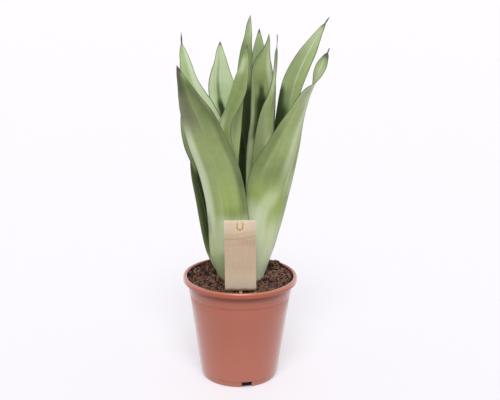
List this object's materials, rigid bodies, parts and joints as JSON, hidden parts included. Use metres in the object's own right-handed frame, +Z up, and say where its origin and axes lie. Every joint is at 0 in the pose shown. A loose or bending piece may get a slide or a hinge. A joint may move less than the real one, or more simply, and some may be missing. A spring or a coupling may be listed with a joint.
{
  "type": "potted snake plant",
  "caption": "Sword-leaved houseplant in crumbly soil, in a tapered nursery pot with a rolled rim and drain notches, with a blank card tag on a stake.",
  "frame": {"origin": "centre of the pot's underside, on the surface that it stands on", "axes": "+Z up along the pot's axis; the leaves' show side and the tag face -Y, with +X to the right"},
  "size_m": [0.2164, 0.17, 0.536],
  "materials": {
    "pot": "moulded terracotta-coloured polypropylene, satin",
    "soil": "crumbly peat potting soil",
    "leaf": "waxy silver-green leaf with pale stripes",
    "card": "plain kraft card",
    "stake": "clear pinkish plastic"
  },
  "bodies": {
    "root": {"pot": "pot", "soil": "soil", "leaf_front_left": "leaf", "leaf_front_right": "leaf", "leaf_left_long": "leaf", "leaf_left_low": "leaf", "leaf_back_left": "leaf", "leaf_back_tall": "leaf", "leaf_inner_left": "leaf", "leaf_inner_centre": "leaf", "leaf_centre": "leaf", "leaf_inner_right": "leaf", "leaf_back_centre": "leaf", "leaf_right_long": "leaf", "tag_card": "card", "tag_stake": "stake"}
  },
  "joints": []
}
